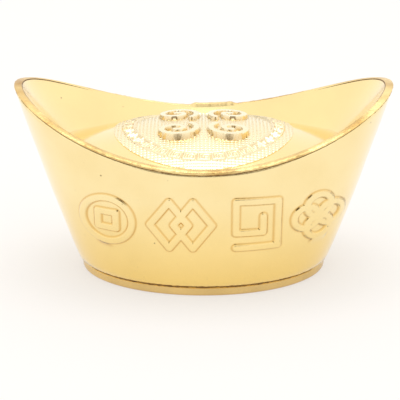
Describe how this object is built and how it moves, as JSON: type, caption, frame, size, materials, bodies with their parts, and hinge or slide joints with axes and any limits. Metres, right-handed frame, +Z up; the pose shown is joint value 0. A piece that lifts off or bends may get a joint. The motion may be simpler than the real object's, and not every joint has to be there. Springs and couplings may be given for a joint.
{
  "type": "feng shui ingot",
  "caption": "Boat-shaped gold ingot ornament with raised ears, a domed tray inside the rim and an oval base plate.",
  "frame": {"origin": "on the table, under the middle of the oval base plate", "axes": "+X from ear to ear, +Y away from the side seen in the picture, +Z up"},
  "size_m": [0.062, 0.0374, 0.0318],
  "materials": {
    "gold_body": "satin gold plating on a casting",
    "gold_tray": "bright gold plating on a casting",
    "champagne_base": "pale satin plating",
    "adhesive": "cured brown adhesive"
  },
  "bodies": {
    "root": {"hull_shell": "gold_body", "dome_tray": "gold_tray", "base_plate": "champagne_base", "base_seam_adhesive": "adhesive", "rim_seam_adhesive": "adhesive"}
  },
  "joints": []
}
